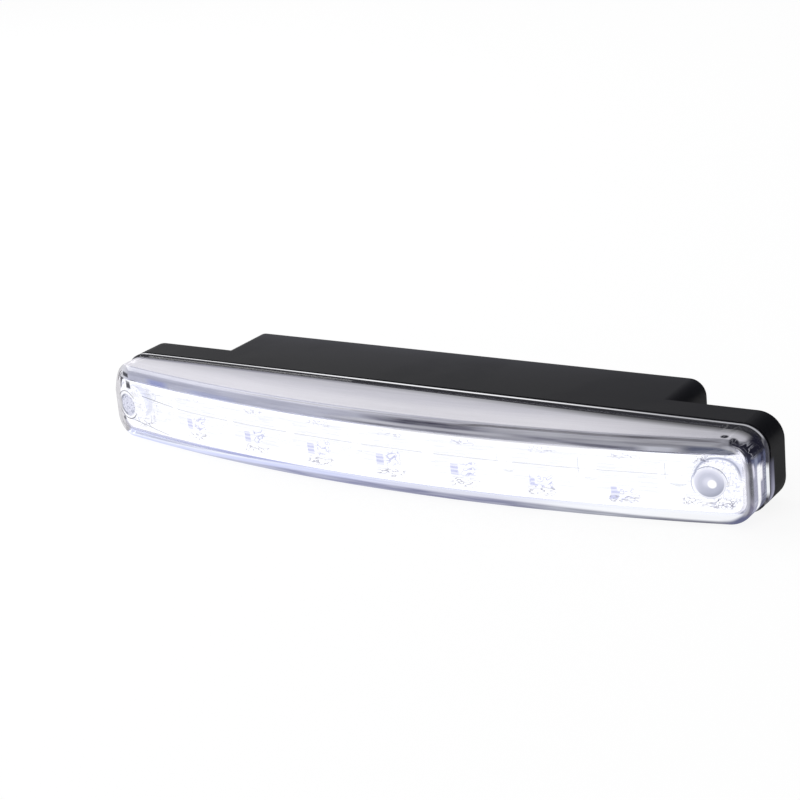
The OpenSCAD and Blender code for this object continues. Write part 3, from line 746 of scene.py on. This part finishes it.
def lens_right(tree, at):
    """The right end: painted bars of light between painted dark ones."""
    along, back, up, turn = at.along, at.back, at.up, at.turn
    end = every(tree, at.skin, ramp(tree, turn, -2.3, -1.3), ramp(tree, along, 84.0, 88.5),
                either(tree, ramp(tree, up, 19.9, 19.0), ramp(tree, along, 90.0, 91.0)),
                ramp(tree, back, FLANGE_FRONT, -1.9))
    side = every(tree, end, ramp(tree, turn, 0.1, 0.9))
    side_low = ramp(tree, up, 14.4, 13.2)
    side_high = ramp(tree, up, 15.4, 16.6)
    bars = layer(
        tree, (0.085, 0.095, 0.165),
        (band(tree, back, -7.6, -6.2, 0.5), (0.20, 0.22, 0.32)),
        (band(tree, back, -4.4, -3.0, 0.5), (0.02, 0.022, 0.055)),
        (side_high, (0.012, 0.012, 0.022)),
        (every(tree, side_high, ramp(tree, back, -8.4, -9.2)), (0.30, 0.30, 0.36)),
        (every(tree, side_low, ramp(tree, back, -9.8, -9.2), ramp(tree, back, -2.9, -3.4)),
         (0.30, 0.30, 0.40)),
        (every(tree, side_low, band(tree, back, -4.5, -2.6, 0.6), ramp(tree, up, 7.5, 5.5)),
         (0.07, 0.075, 0.125)),
        (area(tree, (back, -9.1, -8.1, 0.4), (up, 11.8, 14.8, 0.8)), (0.72, 0.71, 0.84)),
        (every(tree, side_low, band(tree, back, -6.6, -5.0, 0.5)), (0.98, 0.98, 1.0)),
        (area(tree, (back, -6.6, -3.9, 0.4), (up, 9.8, 13.2, 0.9)), (0.98, 0.98, 1.0)))
    # Curled painted grey lines across the lower bars, and painted shade over the upper ones.
    bar_scribbles = use_group(tree, "scribbles", Width=3.0, Height=0.35, Seed=9.0)["Mask"]
    bars = layer(tree, bars, (every(tree, bar_scribbles, 0.4, side_low), (0.55, 0.56, 0.66)),
                 (every(tree, at.crumpled, 0.6, side_high, ramp(tree, back, -5.0, -7.0)),
                  (0.35, 0.35, 0.40)))
    inner = ramp(tree, turn, -1.2, -0.4)
    margin = layer(tree, (0.90, 0.90, 0.93), (ramp(tree, turn, -2.2, -1.3), (0.42, 0.42, 0.48)),
                   (inner, (0.02, 0.02, 0.035)),
                   (every(tree, inner, ramp(tree, up, 8.5, 5.5)), (0.18, 0.17, 0.23)))
    right_tone = layer(tree, margin, (side, bars), (ramp(tree, up, 3.8, 2.4), (0.13, 0.14, 0.24)))
    return {"right": (end, right_tone)}


def lens_flange(tree, at):
    """The flange: a thin painted bright line, with painted shade in front of it."""
    along, back, inset = at.along, at.back, at.inset
    flange = every(tree, band(tree, back, FLANGE_FRONT, -0.8, 0.06), ramp(tree, inset, 0.62, 0.52))
    rear = maths(tree, "SUBTRACT", back, ramp(tree, along, -65.0, 20.0, 0.35, -0.2))
    line = every(tree, band(tree, rear, -1.55, -0.82, 0.1), ramp(tree, inset, 0.25, 0.15))
    end_line = every(tree, band(tree, back, -1.95, -1.35, 0.1), ramp(tree, along, 91.0, 91.8))
    line_tone = layer(
        tree, (0.92, 0.92, 0.95), (ramp(tree, along, 20.0, 84.0), (0.40, 0.40, 0.43)),
        (ramp(tree, along, 91.0, 91.9), (0.05, 0.05, 0.065)),
        (every(tree, end_line, band(tree, at.up, 5.0, 12.2, 1.6)), (0.88, 0.90, 0.94)))
    flange_tone = blend_colour(tree, either(tree, line, end_line), (0.02, 0.02, 0.025), line_tone)
    return {"flange": (flange, flange_tone)}


def lens_material():
    """Clear plastic, under coats of painted glow, shade and reflection on its edges, its front and
    its posts.
    """
    material, tree, shader = new_material("clear_lens", Transmission_Weight=1.0, IOR=1.49,
                                          Metallic=0.0)
    at = lens_places(tree)
    coats = {}
    for part in (lens_lines, lens_posts, lens_edge, lens_top, lens_low, lens_left, lens_right,
                 lens_flange):
        coats.update(part(tree, at))
    effect = use_group(tree, "moulded_grain", Size=2.0)
    tint = blend_colour(tree, effect["Tone"], (0.96, 0.96, 0.98), (0.98, 0.98, 1.0))
    glow = BLACK
    # Each coat darkens the clear plastic and lays its tone on as a painted glow.
    for name, cover in LENS_COATS:
        mask, tone = coats[name]
        tint = blend_colour(tree, every(tree, mask, cover), tint, BLACK)
        glow = blend_colour(tree, mask, glow, tone)
    tree.links.new(tint, shader["Base Color"])
    tree.links.new(glow, shader["Emission Color"])
    shader["Emission Strength"].default_value = EDGE_GLOW
    tree.links.new(ramp(tree, effect["Tone"], 0.0, 1.0, 0.015, 0.03), shader["Roughness"])
    bump(tree, shader, effect["Height"], 0.0004 * MM)
    return material


def window_tone(tree, along, up, ends):
    """The painted glow of the lit window, nearly burnt out, with faint painted shade left in it."""
    drift = maths(tree, "SUBTRACT", along, ramp(tree, along, 10.0, 66.0, -0.9, -3.6))
    local = maths(tree, "WRAP", drift, LIGHT_PITCH / 2, -LIGHT_PITCH / 2)
    tall = maths(tree, "ADD", up, ramp(tree, along, 15.0, 66.0, 0.0, 2.6))
    near = ramp(tree, ends, 78.0, 70.0)
    combed = put(tree, "ShaderNodeTexWave", {
        "Vector": put(tree, "ShaderNodeTexCoord").outputs["Object"], "Scale": 330.0,
        "Distortion": 1.0}, bands_direction="Z").outputs["Fac"]

    def curled(width, height, seed):
        return use_group(tree, "scribbles", Width=width, Height=height, Seed=seed)["Mask"]

    # Faint painted streaks of shade across the window.
    faint_streaks = every(tree, use_group(tree, "streaks", Length=9.0, Width=0.35)["Mask"],
                  band(tree, up, 5.0, 15.5, 1.5), 0.6)
    package = every(tree, area(tree, (local, -1.2, 1.0, 0.3), (tall, 6.3, 9.0, 0.4)), near,
                    ramp(tree, combed, 0.2, 0.6, 0.45, 1.0))
    curls = every(tree, curled(1.3, 1.5, 3.0), near, 0.9,
                  area(tree, (local, 1.8, 5.0, 0.6), (tall, 6.2, 9.6, 0.6)))
    shelf = every(tree, curled(2.0, 0.8, 7.0), 0.9,
                  area(tree, (local, -0.5, 6.5, 1.5), (up, 13.8, 15.6, 0.6)))
    dashes = every(tree, curled(2.6, 0.5, 1.0), 0.9,
                   area(tree, (local, -1.5, 6.0, 1.0), (up, 3.6, 5.0, 0.4)))
    post = from_point(tree, ends, up, settings().post_x / MM, MID_Z / MM)
    around = every(tree, curled(1.5, 1.3, 5.0), 0.6, band(tree, post, 5.0, 7.0, 1.0))
    collar = every(tree, band(tree, post, 3.0, 4.7, 0.3), 0.6)
    return layer(
        tree, (1.12, 1.13, 1.15), (faint_streaks, (0.80, 0.82, 0.90)), (package, (0.62, 0.64, 0.88)),
        (curls, (0.54, 0.56, 0.80)), (shelf, (0.60, 0.61, 0.72)), (dashes, (0.42, 0.42, 0.50)),
        (around, (0.48, 0.49, 0.62)), (collar, (0.66, 0.68, 0.82)))


def plating_material():
    """Bright plating, with a painted glow inside the window and a bare black rear edge."""
    material, tree, shader = new_material("bright_plating", Roughness=0.12)
    place = use_group(tree, "lamp_place")
    along, back, up, depth = place["Along"], place["Back"], place["Up"], place["Depth"]
    ends = maths(tree, "ABSOLUTE", along)
    streak = use_group(tree, "streaks", Length=18.0, Width=0.8, Lean=0.03)["Mask"]
    broad = use_group(tree, "streaks", Length=30.0, Width=2.6, Lean=0.05)["Mask"]

    # The rim round the window, with painted shade and painted reflection streaks along its top.
    over = maths(tree, "SUBTRACT", up, ramp(tree, along, 79.0, 87.0, 0.0, 3.0))
    shaded = every(tree, ramp(tree, depth, 2.35, 2.15), ramp(tree, over, 16.3, 16.6),
                   ramp(tree, ends, 89.0, 86.0))
    pale = blend_colour(tree, streak, (0.36, 0.38, 0.52), (0.62, 0.64, 0.76))
    slate = layer(tree, (0.10, 0.105, 0.16), (streak, (0.36, 0.36, 0.42)),
                  (broad, (0.55, 0.55, 0.62)))
    shade_tone = blend_colour(tree, ramp(tree, along, -45.0, 25.0), pale, slate)
    plate = blend_colour(tree, streak, (0.78, 0.77, 0.81), (0.86, 0.86, 0.9))
    lower = band(tree, up, 2.0, 3.1, 0.4)
    # Painted dark reflections along the right end of the rim.
    right_rim_reflections = every(tree, use_group(tree, "scribbles", Width=1.6, Height=1.2)["Mask"],
                        band(tree, along, 82.0, 89.0, 1.0), ramp(tree, up, 17.0, 18.0), 0.8)
    # Painted shade at the left end of the rim.
    left_rim_shade = area(tree, (along, -89.6, -87.6, 0.4), (up, 13.6, 18.2, 0.5))
    bare = ramp(tree, back, -3.6, -3.2)
    window = every(tree, band(tree, up, 3.05, 16.75, 0.1), ramp(tree, ends, 89.45, 89.35),
                   ramp(tree, depth, 2.0, 2.35))
    colour = layer(tree, plate, (shaded, shade_tone), (lower, (0.6, 0.61, 0.74)),
                   (right_rim_reflections, (0.16, 0.16, 0.2)), (left_rim_shade, (0.06, 0.06, 0.08)),
                   (bare, (0.015, 0.015, 0.016)), (window, (0.06, 0.06, 0.065)))
    tree.links.new(colour, shader["Base Color"])
    tree.links.new(maths(tree, "SUBTRACT", 1.0, bare), shader["Metallic"])
    tree.links.new(maths(tree, "MULTIPLY_ADD", bare, 0.4, 0.12), shader["Roughness"])
    tree.links.new(blend_colour(tree, window, BLACK, window_tone(tree, along, up, ends)),
                   shader["Emission Color"])
    shader["Emission Strength"].default_value = 1.0
    return material


def light_material():
    """A light's white package, with its lit clear dome."""
    material, tree, shader = new_material("lit_dome", Roughness=0.25)
    depth = use_group(tree, "lamp_place")["Depth"]
    dome = ramp(tree, depth, 8.35, 8.2)
    core = ramp(tree, depth, 7.2, 6.6)
    tree.links.new(blend_colour(tree, dome, (0.3, 0.3, 0.29), (0.3, 0.28, 0.18)),
                   shader["Base Color"])
    tree.links.new(blend_colour(tree, dome, settings().haze,
                                blend_colour(tree, core, settings().glow, WHITE)),
                   shader["Emission Color"])
    shader["Emission Strength"].default_value = 1.2
    return material


def housing_material():
    """Satin black moulding with a painted sheen that grows towards its back and its left end, and a
    painted glow of the lens's light on its right rim.
    """
    colour = tuple(settings().housing)
    light, sheen, rear_sheen = (tuple(c * gain for c in colour) for gain in (1.3, 2.2, 3.6))
    material = moulded("satin_housing", colour, light, 0.36, specular=0.4)
    tree = material.node_tree
    shader = tree.nodes["Principled BSDF"].inputs
    place = use_group(tree, "lamp_place")
    along, back, up = place["Along"], place["Back"], place["Up"]
    plain = shader["Base Color"].links[0].from_socket
    # Painted sheen, lighter towards the back and towards the left end.
    sheen_tone = blend_colour(tree, ramp(tree, back, 16.0, 24.0), sheen, rear_sheen)
    sheen_mask = every(tree, ramp(tree, back, 2.0, 22.0), ramp(tree, along, 80.0, -20.0, 0.3, 1.0))
    tree.links.new(blend_colour(tree, sheen_mask, plain, sheen_tone), shader["Base Color"])
    # A painted glow on the right rim, next to the seam.
    spill = every(tree, band(tree, back, -0.1, 1.4, 0.5), ramp(tree, along, 91.0, 92.0),
                  ramp(tree, up, 13.5, 11.5))
    spill_tone = blend_colour(tree, ramp(tree, up, 12.5, 4.0), (0.08, 0.08, 0.12),
                              (0.32, 0.32, 0.42))
    tree.links.new(blend_colour(tree, spill, BLACK, spill_tone), shader["Emission Color"])
    shader["Emission Strength"].default_value = EDGE_GLOW
    return material


def board_material(name, mask_colour, track_colour):
    """A solder-masked board whose tracks show through as slightly paler lines."""
    material, tree, shader = new_material(name, Roughness=0.35)
    spot = put(tree, "ShaderNodeTexCoord").outputs["Object"]
    wave = put(tree, "ShaderNodeTexWave", {"Vector": spot, "Scale": 60.0, "Distortion": 5.0,
                                           "Detail": 1.0}, bands_direction="Z")
    track = ramp(tree, wave.outputs["Fac"], 0.55, 0.62)
    tree.links.new(blend_colour(tree, track, mask_colour, track_colour), shader["Base Color"])
    bump(tree, shader, track, 0.03 * MM)
    return material


def steel_material():
    """Zinc-plated steel with a faint grain."""
    material, tree, shader = new_material("zinc_steel", Metallic=1.0)
    effect = use_group(tree, "moulded_grain", Size=0.5)
    tree.links.new(blend_colour(tree, effect["Tone"], (0.55, 0.56, 0.58), (0.68, 0.69, 0.7)),
                   shader["Base Color"])
    tree.links.new(ramp(tree, effect["Height"], 0.3, 0.7, 0.22, 0.4), shader["Roughness"])
    bump(tree, shader, effect["Height"], 0.01 * MM)
    return material


# The studio.

def looking_rays(tree):
    """Masks for rays that look at the background, straight or through the lens, or mirrored."""
    path = put(tree, "ShaderNodeLightPath").outputs
    return either(tree, path["Is Camera Ray"], path["Is Transmission Ray"]), path["Is Glossy Ray"]


def build_floor():
    """A plain floor, white to the camera and dim in what the lamp mirrors."""
    bm = bmesh.new()
    bmesh.ops.create_grid(bm, x_segments=1, y_segments=1, size=4)
    floor = new_object("floor", new_mesh("floor", bm))
    floor.location.z = -0.02 * MM
    material, tree, shader = new_material("pale_floor", Roughness=0.9, Specular_IOR_Level=0.1)
    looked_at, mirrored = looking_rays(tree)
    tree.links.new(blend_colour(tree, either(tree, looked_at, mirrored), (0.8, 0.8, 0.8),
                                (0.12, 0.12, 0.12)), shader["Base Color"])
    shader["Emission Color"].default_value = opaque(WHITE)
    tree.links.new(maths(tree, "ADD", maths(tree, "MULTIPLY", looked_at, 0.9),
                         maths(tree, "MULTIPLY", mirrored, 0.12)), shader["Emission Strength"])
    floor.data.materials.append(material)


def build_world(scene):
    """A soft room, bright at the left, that is white to the camera and mostly dark in mirrors."""
    world = bpy.data.worlds.new("studio")
    scene.world = world
    world.use_nodes = True
    tree = world.node_tree
    sky = tree.nodes["Background"].inputs
    looked_at, mirrored = looking_rays(tree)
    way = put(tree, "ShaderNodeSeparateXYZ", {
        "Vector": put(tree, "ShaderNodeTexCoord").outputs["Generated"]}).outputs["X"]
    flag = ramp(tree, way, 0.1, -0.75, 0.0, 0.26)
    soft = blend_colour(tree, ramp(tree, way, -0.5, 0.7), (0.8, 0.8, 0.81), (0.12, 0.12, 0.12))
    tree.links.new(layer(tree, soft, (mirrored, (0.012, 0.012, 0.014)),
                         (every(tree, mirrored, flag), WHITE), (looked_at, WHITE)), sky["Color"])
    sky["Strength"].default_value = 1.0


def build_lamps():
    """Square soft lamps that point at the middle of the scene."""
    for name, spot, width, power in STUDIO_LAMPS:
        lamp = bpy.data.lights.new(name, "AREA")
        lamp.shape = "SQUARE"
        lamp.size = width
        lamp.energy = power
        panel = new_object(name, lamp)
        panel.location = spot
        panel.rotation_euler = (-Vector(spot)).to_track_quat("-Z", "Y").to_euler()


def build_camera(scene):
    """The camera at the viewing angle of the photograph."""
    azimuth, elevation, roll = (
        math.radians(angle) for angle in (CAMERA_AZIMUTH, CAMERA_ELEVATION, CAMERA_ROLL))
    back = Vector((math.sin(azimuth) * math.cos(elevation),
                   -math.cos(azimuth) * math.cos(elevation), math.sin(elevation)))
    right = Vector((math.cos(azimuth), math.sin(azimuth), 0))
    up = back.cross(right)
    right, up = (right * math.cos(roll) + up * math.sin(roll),
                 up * math.cos(roll) - right * math.sin(roll))
    lens = bpy.data.cameras.new("camera")
    lens.sensor_width = SENSOR_WIDTH
    lens.lens = CAMERA_FOCAL / FRAME_SIDE * SENSOR_WIDTH
    lens.shift_x = (FRAME_SIDE / 2 - CAMERA_CENTRE[0]) / FRAME_SIDE
    lens.shift_y = (CAMERA_CENTRE[1] - FRAME_SIDE / 2) / FRAME_SIDE
    lens.clip_start = 0.01
    camera = new_object("camera", lens)
    place = Vector((0, LENS_LOW.y + CAMERA_AIM_DEPTH, MID_Z)) + back * CAMERA_DISTANCE
    camera.matrix_world = Matrix((
        (right.x, up.x, back.x, place.x), (right.y, up.y, back.y, place.y),
        (right.z, up.z, back.z, place.z), (0, 0, 0, 1)))
    scene.camera = camera


# Operators.

class RUNNINGLIGHT_OT_stage(bpy.types.Operator):
    """Builds the pale floor, the studio light and the camera"""

    bl_idname = "running_light.stage"
    bl_label = "Stage, light and camera"

    def execute(self, context):
        build_floor()
        build_world(context.scene)
        build_lamps()
        build_camera(context.scene)
        context.scene.view_settings.view_transform = "Standard"
        return {"FINISHED"}


class RUNNINGLIGHT_OT_lens(bpy.types.Operator):
    """Moulds the clear bowed lens with its flange and its two screw posts"""

    bl_idname = "running_light.lens"
    bl_label = "Front lens"

    def execute(self, context):
        size = settings()
        inner_bm = bmesh.new()
        bowed_block(inner_bm, size.flange_step + size.lens_wall, size.lens_wall, INNER_EDGE)
        open_back(inner_bm)
        bmesh.ops.reverse_faces(inner_bm, faces=inner_bm.faces)
        inner = new_mesh("lens_inside", inner_bm)
        bm = bmesh.new()
        bowed_block(bm, 0.0, 0.0, size.lens_edge, step=size.flange_step)
        open_back(bm)
        bm.from_mesh(inner)
        bpy.data.meshes.remove(inner)
        bmesh.ops.bridge_loops(bm, edges=open_edges(bm))
        piece = finish_piece("front_lens_clear", bm, lens_material(),
                             ["front_lens"])
        for x in (-size.post_x, size.post_x):
            combine(piece, rod("post", x, MID_Z, size.post_radius, bow_y(x, size.lens_wall / 2),
                               SEAM_Y - POST_GAP), "UNION")
            combine(piece, rod("pilot", x, MID_Z, PILOT_RADIUS, SEAM_Y - PILOT_DEPTH,
                               SEAM_Y + PILOT_PAST), "DIFFERENCE")
        shade(piece.data)
        return {"FINISHED"}


class RUNNINGLIGHT_OT_reflector(bpy.types.Operator):
    """Plates the reflector behind the lens"""

    bl_idname = "running_light.reflector"
    bl_label = "Reflector"

    def execute(self, context):
        dress(plating_material(), "reflector")
        return {"FINISHED"}


class RUNNINGLIGHT_OT_lights(bpy.types.Operator):
    """Finishes the eight lights and the board that carries them"""

    bl_idname = "running_light.lights"
    bl_label = "Lights and light board"

    def execute(self, context):
        dress(light_material(), *LIGHTS)
        dress(board_material("white_board", (0.82, 0.83, 0.82), (0.9, 0.9, 0.88)), "light_board")
        dress(moulded("red_lead", (0.42, 0.02, 0.02), (0.5, 0.03, 0.03), 0.45), "lead_positive")
        dress(moulded("black_lead", (0.02, 0.02, 0.02), (0.035, 0.035, 0.035), 0.45),
              "lead_negative")
        return {"FINISHED"}


class RUNNINGLIGHT_OT_housing(bpy.types.Operator):
    """Finishes the black rear housing, its seal and its cable grommet"""

    bl_idname = "running_light.housing"
    bl_label = "Housing, seal and grommet"

    def execute(self, context):
        dress(housing_material(), "rear_housing")
        dress(moulded("seal_rubber", (0.012, 0.012, 0.012), (0.02, 0.02, 0.02), 0.7),
              "seal_ring")
        dress(moulded("grommet_rubber", (0.02, 0.02, 0.02), (0.035, 0.035, 0.035), 0.65,
                      grain=0.6), "cable_grommet")
        return {"FINISHED"}


class RUNNINGLIGHT_OT_driver(bpy.types.Operator):
    """Finishes the driver board and the components on it"""

    bl_idname = "running_light.driver"
    bl_label = "Driver board"

    def execute(self, context):
        dress(board_material("green_board", (0.02, 0.13, 0.05), (0.05, 0.22, 0.1)),
              "driver_board")
        dress(moulded("ferrite", (0.06, 0.05, 0.045), (0.1, 0.085, 0.075), 0.6, grain=0.2),
              "choke")
        dress(moulded("can_sleeve", (0.05, 0.055, 0.09), (0.08, 0.085, 0.13), 0.35), "capacitor")
        dress(moulded("component_mould", (0.02, 0.02, 0.022), (0.035, 0.035, 0.04), 0.5),
              "driver_chip", "polarity_diode", "sense_resistors")
        return {"FINISHED"}


class RUNNINGLIGHT_OT_screws(bpy.types.Operator):
    """Finishes the zinc-plated screws"""

    bl_idname = "running_light.screws"
    bl_label = "Screws"

    def execute(self, context):
        dress(steel_material(), "case_screw_left", "case_screw_right", "driver_screw_left",
              "driver_screw_right", *BOARD_SCREWS)
        return {"FINISHED"}


class RUNNINGLIGHT_PT_panel(bpy.types.Panel):
    """Lists the running light's pieces and their sizes"""

    bl_label = "Running Light"
    bl_idname = "RUNNINGLIGHT_PT_panel"
    bl_space_type = "VIEW_3D"
    bl_region_type = "UI"
    bl_category = "Running Light"

    def draw(self, context):
        for name in RunningLightSettings.__annotations__:
            self.layout.prop(context.scene.running_light, name)
        for step in STEPS:
            self.layout.operator(step.bl_idname)


STEPS = (RUNNINGLIGHT_OT_stage, RUNNINGLIGHT_OT_lens, RUNNINGLIGHT_OT_reflector,
         RUNNINGLIGHT_OT_lights, RUNNINGLIGHT_OT_housing, RUNNINGLIGHT_OT_driver,
         RUNNINGLIGHT_OT_screws)
CLASSES = (RunningLightSettings, *STEPS, RUNNINGLIGHT_PT_panel)


def register():
    for item in CLASSES:
        bpy.utils.register_class(item)
    bpy.types.Scene.running_light = bpy.props.PointerProperty(type=RunningLightSettings)


def unregister():
    del bpy.types.Scene.running_light
    for item in reversed(CLASSES):
        bpy.utils.unregister_class(item)


def main():
    register()
    build_groups()
    bpy.ops.running_light.stage()
    bpy.ops.running_light.lens()
    bpy.ops.running_light.reflector()
    bpy.ops.running_light.lights()
    bpy.ops.running_light.housing()
    bpy.ops.running_light.driver()
    bpy.ops.running_light.screws()


if __name__ == "__main__":
    main()
